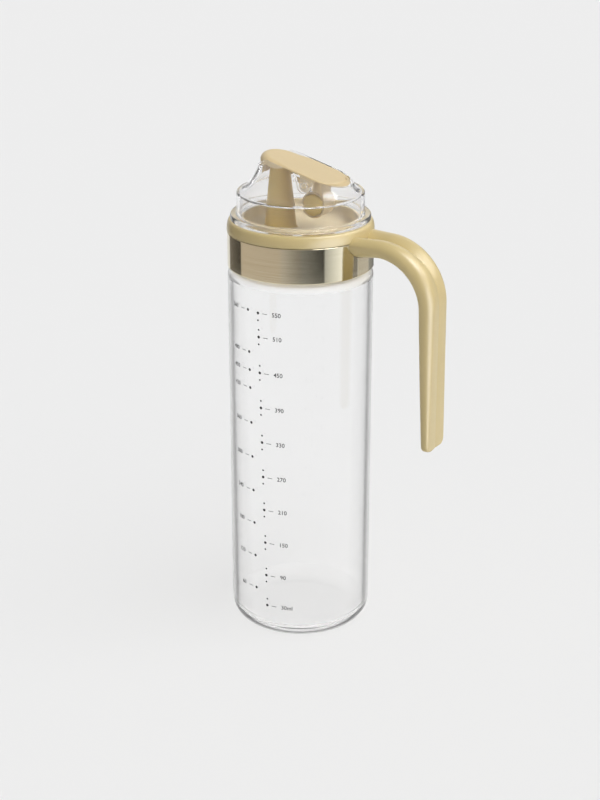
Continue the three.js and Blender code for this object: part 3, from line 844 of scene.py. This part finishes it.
# A hinge ear under the roof.
def dome_ear(side):
    left = HINGE_X - EAR_TOP_WIDTH / 2
    right = HINGE_X + EAR_TOP_WIDTH / 2
    below = EAR_ROOT - LID_THICKNESS - RIM_DROP["rear"] - RIM_LIP
    outline = [(left, lid_plane_height(left, below))]
    outline += hinge_arc(EAR_WIDTH / 2, steps=24)
    outline.append((right, lid_plane_height(right, below)))
    return cross_prism("ear", outline, *side_span(side, EAR_INNER, EAR_OUTER), EAR_EDGE)


def dome():
    shell = dome_shell()
    for side in (-1, 1):
        combine(shell, dome_ear(side), "UNION")
        span = side_span(side, EAR_INNER - CUT_MARGIN, PIN_REACH + GAP)
        hole = cross_cylinder("hole", HINGE_X, HINGE_HEIGHT, PIN_RADIUS + GAP, *span)
        combine(shell, hole, "DIFFERENCE")
    return shell


# Gives the faces of the hinge ears a material of their own.
def divide_dome(shell, ears):
    ear_slot = add_material(shell, ears)
    for face in shell.data.polygons:
        place = face.center / MM
        beside = EAR_INNER - FACE_MARGIN < abs(place.y) < EAR_OUTER + FACE_MARGIN
        along = abs(place.x - HINGE_X) < EAR_TOP_WIDTH / 2
        if beside and along and place.z < lid_plane_height(place.x, -LID_THICKNESS - RIM_LIP):
            face.material_index = ear_slot


# Flip lid: slanted plate with a hood at its front, hinge lugs, and the weight's barrel

def lid_plate():
    everywhere = range(LID_SIDES)
    middle = (LID_REAR_CENTRE + LID_FRONT_CENTRE) / 2
    edge_steps = 9

    def level(index, inset, up):
        edge = lid_outline(index, -inset)
        return on_lid(edge.x, edge.y, up)

    def edge_radius(index):
        share = ease(LID_FRONT_CENTRE, 0, lid_outline(index, 0).x)
        return between(LID_EDGE["front"], LID_EDGE["rear"], share)

    def lip_foot(index, inset, lift):
        foot = level(index, inset, -LID_THICKNESS)
        past_start = max(0, LIP_START - lid_outline(index, -inset).x)
        foot.z -= min(LIP_CURVE * past_start ** 2, foot.z - LIP_BOTTOM)
        foot.z += lift
        return foot

    rings = [[on_lid(middle, 0, 0)]]
    rings.append([level(i, edge_radius(i) + LID_TOP_BORDER, 0) for i in everywhere])
    for step in range(edge_steps + 1):
        angle = math.pi / 2 * step / edge_steps
        ring = []
        for i in everywhere:
            radius = edge_radius(i)
            ring.append(level(i, radius * (1 - math.sin(angle)), -radius * (1 - math.cos(angle))))
        rings.append(ring)
    corner = LIP_EDGE * (1 - math.sqrt(0.5))
    lip_path = [
        (0, LIP_EDGE),
        (corner, corner),
        (LIP_EDGE, 0),
        (LIP_WALL - LIP_EDGE, 0),
        (LIP_WALL, LIP_EDGE),
    ]
    for inset, lift in lip_path:
        rings.append([lip_foot(i, inset, lift) for i in everywhere])
    underside = -LID_THICKNESS + LIP_EDGE / 3
    rings.append([level(i, LIP_WALL + LIP_EDGE, underside) for i in everywhere])
    rings.append([on_lid(middle, 0, underside)])
    return ring_stack("flip_lid_moulding", rings)


# A round-ended lug at one side, from the hinge up to a plane parallel to the lid's top.
def hinge_lug(side, up):
    outline = hinge_arc(LUG_RADIUS, steps=20)
    for x in (HINGE_X + LUG_RADIUS, HINGE_X - LUG_RADIUS):
        outline.append((x, lid_plane_height(x, up)))
    return cross_prism("lug", outline, *side_span(side, LUG_INNER, LUG_OUTER), HINGE_EDGE)


def flip_lid():
    barrel_inner = WEIGHT_RADIUS + GAP
    barrel_outer = barrel_inner + BARREL_WALL
    barrel_end = BARREL_LENGTH / 2
    bore_end = barrel_end + CUT_MARGIN
    middle = -LID_THICKNESS / 2
    left = STEM_X - STEM_WIDTH / 2
    right = STEM_X + STEM_WIDTH / 2
    lid = lid_plate()
    stem_outline = [(left, WEIGHT_HEIGHT), (right, WEIGHT_HEIGHT)]
    stem_outline += [(right, lid_plane_height(right, middle)), (left, lid_plane_height(left, middle))]
    combine(lid, cross_prism("stem", stem_outline, -STEM_SPAN / 2, STEM_SPAN / 2, STEM_EDGE), "UNION")
    place = (WEIGHT_X, WEIGHT_HEIGHT)
    barrel = cross_cylinder("barrel", *place, barrel_outer, -barrel_end, barrel_end, BARREL_EDGE)
    combine(lid, barrel, "UNION")
    bore = cross_cylinder("bore", *place, barrel_inner, -bore_end, bore_end)
    combine(lid, bore, "DIFFERENCE")
    for side in (-1, 1):
        combine(lid, hinge_lug(side, middle), "UNION")
        span = side_span(side, LUG_INNER, PIN_REACH)
        pin = cross_cylinder("pin", HINGE_X, HINGE_HEIGHT, PIN_RADIUS, *span, HINGE_EDGE)
        combine(lid, pin, "UNION")
    return lid


def weight():
    half = WEIGHT_LENGTH / 2
    corners = [
        (0, -half, 0),
        (WEIGHT_RADIUS, -half, WEIGHT_EDGE),
        (WEIGHT_RADIUS, half, WEIGHT_EDGE),
        (0, half, 0),
    ]
    return turned_across("counterweight_cap", WEIGHT_X, WEIGHT_HEIGHT, rounded_path(corners))


# Printed scale, a thin skin of ink wrapped round the glass

# The place on the glass of a point along, up and out from the middle of a mark.
def wrapped(turn, height, along, up, out):
    angle = turn_angle(turn) + along / GLASS_RADIUS
    radius = GLASS_RADIUS + PRINT_LIFT + out
    return (radius * math.cos(angle), radius * math.sin(angle), height + up)


class Ink:
    def __init__(self):
        self.points = []
        self.faces = []

    # Adds a flat shape of points along and up with its faces, as a skin of ink. An edge that only
    # one face has lies on the shape's rim, and gets a wall.
    def stamp(self, turn, height, shape, faces):
        first = len(self.points)
        count = len(shape)
        for out in (0, PRINT_THICKNESS):
            self.points += [wrapped(turn, height, along, up, out) for along, up in shape]
        rim = {}
        for face in faces:
            self.faces.append([first + count + corner for corner in face])
            self.faces.append([first + corner for corner in reversed(face)])
            for a, b in zip(face, face[1:] + face[:1]):
                rim[(a, b)] = (b, a) not in rim
                if not rim[(a, b)]:
                    rim[(b, a)] = False
        for (a, b), outer in rim.items():
            if outer:
                self.faces.append([first + a, first + b, first + count + b, first + count + a])

    def dot(self, turn, height, radius):
        sides = 20
        self.stamp(turn, height, circle(radius, sides), [list(range(sides))])

    def dash(self, turn, height, side):
        left, right = side_span(side, DASH_START, DASH_START + DASH_LENGTH)
        shape = [(left, -DASH_HALF_HEIGHT), (right, -DASH_HALF_HEIGHT)]
        shape += [(right, DASH_HALF_HEIGHT), (left, DASH_HALF_HEIGHT)]
        self.stamp(turn, height, shape, [[0, 1, 2, 3]])

    def number(self, turn, height, text, side):
        curve = bpy.data.curves.new("number", "FONT")
        curve.body = text
        curve.size = NUMBER_SIZE
        curve.offset = NUMBER_BOLDNESS
        curve.resolution_u = NUMBER_CURVE_STEPS
        curve.align_x = "LEFT" if side > 0 else "RIGHT"
        curve.align_y = "CENTER"
        letters = bpy.data.objects.new("number", curve)
        graph = bpy.context.evaluated_depsgraph_get()
        mesh = letters.to_mesh(preserve_all_data_layers=False, depsgraph=graph)
        shape = [(v.co.x + side * NUMBER_START, v.co.y) for v in mesh.vertices]
        faces = [list(face.vertices) for face in mesh.polygons]
        self.stamp(turn, height, shape, faces)
        letters.to_mesh_clear()
        bpy.data.objects.remove(letters)
        bpy.data.curves.remove(curve)


def column_turn(turns, height):
    share = (SCALE_TOP - height) / (SCALE_TOP - SCALE_BOTTOM)
    return between(turns["top"], turns["bottom"], share)


def scale_print():
    sheet = Ink()
    for text, height in NEAR_MARKS.items():
        turn = column_turn(NEAR_TURN, height)
        sheet.dot(turn, height, BIG_DOT)
        if height < SCALE_TOP:
            sheet.dot(turn, height + DOT_STEP, SMALL_DOT)
        if height > SCALE_BOTTOM:
            sheet.dot(turn, height - DOT_STEP, SMALL_DOT)
        sheet.dash(turn, height, side=1)
        sheet.number(turn, height, text, side=1)
    for text, height in FAR_MARKS.items():
        turn = column_turn(FAR_TURN, height)
        sheet.dot(turn, height, BIG_DOT)
        sheet.dash(turn, height, side=-1)
        sheet.number(turn, height, text, side=-1)
    return mesh_piece("scale_print", sheet.points, sheet.faces)


# Materials

# A material, its shader and the nodes that feed it.
class Look:
    def __init__(self, name):
        self.material = bpy.data.materials.new(name)
        self.material.use_nodes = True
        self.nodes = self.material.node_tree.nodes
        self.links = self.material.node_tree.links
        self.shader = self.nodes["Principled BSDF"]

    # Sets the shader's own values. An underscore stands for the space in a socket's name.
    def set(self, **values):
        for name, value in values.items():
            self.shader.inputs[name.replace("_", " ")].default_value = value

    def feed(self, name, socket):
        self.links.new(socket, self.shader.inputs[name])

    # Noise in the part's own frame, in features a metre along x, y and z.
    def noise(self, density, detail=2):
        place = self.nodes.new("ShaderNodeTexCoord")
        stretch = self.nodes.new("ShaderNodeMapping")
        stretch.inputs["Scale"].default_value = density
        noise = self.nodes.new("ShaderNodeTexNoise")
        noise.inputs["Scale"].default_value = 1
        noise.inputs["Detail"].default_value = detail
        self.links.new(place.outputs["Object"], stretch.inputs["Vector"])
        self.links.new(stretch.outputs["Vector"], noise.inputs["Vector"])
        return noise.outputs["Fac"]

    def ramp(self, factor, stops):
        ramp = self.nodes.new("ShaderNodeValToRGB")
        elements = ramp.color_ramp.elements
        while len(elements) < len(stops):
            elements.new(1)
        for element, (position, colour) in zip(elements, stops):
            element.position = position
            element.color = (*colour, 1)
        self.links.new(factor, ramp.inputs["Fac"])
        return ramp.outputs["Color"]

    # Colour that runs from deep to pale over the middle of a noise's range.
    def shades(self, factor, pale, deep):
        return self.ramp(factor, [(NOISE_LOW, deep), (NOISE_HIGH, pale)])

    # Number that runs from low to high over the middle of a noise's range.
    def spread(self, factor, low, high):
        spread = self.nodes.new("ShaderNodeMapRange")
        spread.inputs["From Min"].default_value = NOISE_LOW
        spread.inputs["From Max"].default_value = NOISE_HIGH
        spread.inputs["To Min"].default_value = low
        spread.inputs["To Max"].default_value = high
        self.links.new(factor, spread.inputs["Value"])
        return spread.outputs["Result"]

    def bump(self, height, distance):
        bump = self.nodes.new("ShaderNodeBump")
        bump.inputs["Distance"].default_value = distance * MM
        self.links.new(height, bump.inputs["Height"])
        self.feed("Normal", bump.outputs["Normal"])

    # How far the surface turns away from the ray that meets it, from 0 to 1.
    def facing(self):
        weight = self.nodes.new("ShaderNodeLayerWeight")
        weight.inputs["Blend"].default_value = 0.5
        return weight.outputs["Facing"]

    # Lets the given share of a lamp's light through each surface.
    def let_light_through(self, share):
        path = self.nodes.new("ShaderNodeLightPath")
        clear = self.nodes.new("ShaderNodeBsdfTransparent")
        clear.inputs["Color"].default_value = (share, share, share, 1)
        mix = self.nodes.new("ShaderNodeMixShader")
        output = self.nodes["Material Output"]
        self.links.new(path.outputs["Is Shadow Ray"], mix.inputs[0])
        self.links.new(self.shader.outputs["BSDF"], mix.inputs[1])
        self.links.new(clear.outputs["BSDF"], mix.inputs[2])
        self.links.new(mix.outputs["Shader"], output.inputs["Surface"])


def cream_plastic(name, pale, deep, coat):
    look = Look(name)
    look.set(IOR=1.5, Coat_Weight=coat, Coat_Roughness=0.3)
    look.feed("Base Color", look.shades(look.noise(CLOUDS, detail=3), pale, deep))
    look.feed("Roughness", look.spread(look.noise(MOULD_GRAIN), *CREAM_ROUGHNESS))
    look.bump(look.noise(FINE_GRAIN, detail=1), FINE_GRAIN_HEIGHT)
    return look.material


def polished_metal():
    look = Look("champagne_metal")
    look.set(Metallic=1)
    streaks = look.noise(BRUSH_STREAKS)
    look.feed("Base Color", look.shades(streaks, **METAL))
    look.feed("Roughness", look.spread(streaks, *METAL_ROUGHNESS))
    return look.material


# Glass whose colour darkens where it is met at a slant, painted shade for the dark lines at its edges.
# Tones are pairs of slant and tone.
def clear_glass(name, tones, bending, transmission, clearness):
    look = Look(name)
    look.set(Transmission_Weight=transmission, IOR=bending, Roughness=0)
    stops = [(slant, (tone, tone, tone)) for slant, tone in tones]
    look.feed("Base Color", look.ramp(look.facing(), stops))
    look.bump(look.noise(GLASS_WAVES, detail=1), GLASS_WAVE_HEIGHT)
    look.let_light_through(clearness)
    return look.material


# Clear plastic whose colour turns grey and bluish where it is met at a slant, painted shade at its
# edges.
def clear_plastic(name, bending, transmission):
    look = Look(name)
    look.set(Transmission_Weight=transmission, IOR=bending, Roughness=0.01)
    look.set(Coat_Weight=0.6, Coat_Roughness=0.02)
    look.feed("Base Color", look.ramp(look.facing(), DOME_EDGE_SHADE))
    look.bump(look.noise(DOME_WAVES, detail=1), DOME_WAVE_HEIGHT)
    look.let_light_through(DOME_CLEARNESS)
    return look.material


def ink():
    look = Look("ink")
    patches = look.noise(INK_PATCHES)
    look.feed("Base Color", look.shades(patches, **INK))
    look.feed("Roughness", look.spread(patches, *INK_ROUGHNESS))
    return look.material


# Pieces on their bodies, with the solids that they stand for and the slots of their finishes

def finish_piece(piece, body, material, node=None):
    piece.data.materials.clear()
    piece.data.materials.append(material)
    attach(piece, body)
    if node:
        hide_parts(node)
    return piece


looks = {"ink": ink(), "metal": polished_metal()}
for name, values in CREAMS.items():
    looks[name] = cream_plastic(name, **values)
for name, values in GLASSES.items():
    looks[name] = clear_glass(name, **values)
for name, values in CLEAR_PLASTICS.items():
    looks[name] = clear_plastic(name, **values)

glass = finish_piece(bottle(), "cruet", looks["glass_outside"], "glass_bottle")
divide_glass(glass, looks["glass_inside"], looks["glass_foot_painted_sheen"], looks["glass_shoulder_painted_sheen"])
finish_piece(scale_print(), "cruet", looks["ink"])
finish_piece(band(), "cruet", looks["metal"], "steel_band")
clear = finish_piece(dome(), "cruet", looks["clear_plastic"], "clear_dome")
divide_dome(clear, looks["ear_plastic"])
moulding = finish_piece(collar(), "cruet", looks["cream_plastic"], "collar_handle")
# The lid's paler cream is painted light.
finish_piece(flip_lid(), "lid", looks["lid_cream_painted_light"], "flip_lid")
# The deck's paler cream is painted light.
pour_deck = finish_piece(deck(), "cruet", looks["deck_cream_painted_light"], "pour_deck")
# The spout's darker cream is painted shade.
divide_deck(pour_deck, looks["spout_cream_painted_shade"])
# The cap's darker cream is painted shade.
cap = finish_piece(weight(), "lid", looks["cap_cream_painted_shade"], "counterweight")
for piece in (glass, clear):
    piece.visible_diffuse = False


# Stage

def floor():
    reach = FLOOR_REACH
    low = -FLOOR_GAP
    corners = [(-reach, -reach, low), (reach, -reach, low), (reach, reach, low), (-reach, reach, low)]
    plane = mesh_piece("floor", corners, [[0, 1, 2, 3]])
    look = Look("floor")
    look.set(Base_Color=(FLOOR_TONE, FLOOR_TONE, FLOOR_TONE, 1), Roughness=1, Specular_IOR_Level=0)
    plane.data.materials.append(look.material)
    return plane


# A curved card that only mirrors see, with its tone running evenly from one end to the other.
# Warmth is the share of green that it lacks, and it lacks twice that share of blue.
def card(name, turns, tones, warmth):
    steps = 16
    points = []
    for i in range(steps + 1):
        angle = turn_angle(between(*turns, i / steps))
        x = CARD_RADIUS * math.cos(angle)
        y = CARD_RADIUS * math.sin(angle)
        points += [(x, y, CARD_LOW), (x, y, CARD_HIGH)]
    faces = [[2 * i, 2 * i + 2, 2 * i + 3, 2 * i + 1] for i in range(steps)]
    strip = mesh_piece(name, points, faces)
    colours = strip.data.color_attributes.new("tone", "FLOAT_COLOR", "POINT")
    for i, entry in enumerate(colours.data):
        tone = between(*tones, (i // 2) / steps)
        entry.color = (tone, tone * (1 - warmth), tone * (1 - 2 * warmth), 1)
    look = Look(name)
    look.set(Base_Color=(0, 0, 0, 1), Specular_IOR_Level=0, Emission_Strength=1)
    paint = look.nodes.new("ShaderNodeVertexColor")
    paint.layer_name = "tone"
    look.feed("Emission Color", paint.outputs["Color"])
    strip.data.materials.append(look.material)
    strip.visible_camera = False
    strip.visible_diffuse = False
    strip.visible_transmission = False
    strip.visible_shadow = False


# A distant lamp as wide as spread, in the direction turn and rise. It lights only the objects
# in lit and takes shadows only from those in shading, where these are given.
def lamp(name, strength, spread, turn, rise, lit=None, shading=None):
    sun = bpy.data.lights.new(name, "SUN")
    sun.energy = strength
    sun.angle = math.radians(spread)
    holder = bpy.data.objects.new(name, sun)
    around = turn_angle(turn)
    up = math.radians(rise)
    towards = Vector((math.cos(around) * math.cos(up), math.sin(around) * math.cos(up), math.sin(up)))
    holder.rotation_mode = "QUATERNION"
    holder.rotation_quaternion = (-towards).to_track_quat("-Z", "Y")
    bpy.context.scene.collection.objects.link(holder)
    if lit:
        holder.light_linking.receiver_collection = object_set(name + "_lit", lit)
    if shading:
        holder.light_linking.blocker_collection = object_set(name + "_shading", shading)
    return holder


def object_set(name, members):
    group = bpy.data.collections.new(name)
    for member in members:
        group.objects.link(member)
    return group


# The surroundings that mirrors and glass show, and the backdrop past the floor that is seen directly.
# The lamps light the matt surfaces.
def surroundings():
    world = bpy.data.worlds.new("studio")
    bpy.context.scene.world = world
    world.use_nodes = True
    nodes = world.node_tree.nodes
    links = world.node_tree.links
    background = nodes["Background"]
    background.inputs["Color"].default_value = (1, 1, 1, 1)
    path = nodes.new("ShaderNodeLightPath")
    strength = nodes.new("ShaderNodeMapRange")
    strength.inputs["To Min"].default_value = SURROUNDINGS_STRENGTH
    strength.inputs["To Max"].default_value = BACKDROP_STRENGTH
    links.new(path.outputs["Is Camera Ray"], strength.inputs["Value"])
    links.new(strength.outputs["Result"], background.inputs["Strength"])
    world.cycles_visibility.diffuse = False


def camera():
    data = bpy.data.cameras.new("camera")
    data.lens = CAMERA_LENS
    data.sensor_width = CAMERA_SENSOR
    data.clip_start = CAMERA_NEAR * MM
    data.clip_end = CAMERA_FAR * MM
    eye = bpy.data.objects.new("camera", data)
    azimuth = math.radians(CAMERA_AZIMUTH)
    eye.location = Vector((
        CAMERA_DISTANCE * math.sin(azimuth),
        -CAMERA_DISTANCE * math.cos(azimuth),
        CAMERA_HEIGHT,
    )) * MM
    turned_by = math.radians(CAMERA_AZIMUTH + CAMERA_TURN)
    eye.rotation_euler = (math.radians(90 - CAMERA_PITCH), 0, turned_by)
    bpy.context.scene.collection.objects.link(eye)
    bpy.context.scene.camera = eye


# Studio around the pieces

pieces = [piece for piece in bpy.context.scene.objects if piece.type == "MESH" and piece != glass]
ground = floor()
for name, values in CARDS.items():
    card(name, **values)
surroundings()
lamp("key_softbox", KEY_STRENGTH, KEY_SPREAD, KEY_TURN, KEY_RISE, lit=pieces)
for name, values in GLOSS_LAMPS.items():
    gloss = lamp(name, **values, lit=[moulding], shading=[moulding])
    gloss.visible_diffuse = False
floor_light = (FLOOR_LAMP_STRENGTH, FLOOR_LAMP_SPREAD, KEY_TURN, FLOOR_LAMP_RISE)
lamp("floor_softbox", *floor_light, lit=[ground], shading=[glass])
from_above = (FILL_SPREAD, FILL_TURN, FILL_RISE)
fill = lamp("fill_ceiling", FILL_STRENGTH, *from_above)
inside_light = (INNER_FILL_STRENGTH, *from_above)
inner_fill = lamp("fill_inside", *inside_light, lit=[pour_deck, cap], shading=[pour_deck])
haze_light = (HAZE_STRENGTH, FILL_SPREAD, HAZE_TURN, HAZE_RISE)
haze = lamp("haze_front", *haze_light, lit=[glass], shading=[glass])
for matt_lamp in (fill, inner_fill, haze):
    matt_lamp.visible_glossy = False
    matt_lamp.visible_transmission = False
camera()
bpy.context.scene.view_settings.view_transform = "Standard"
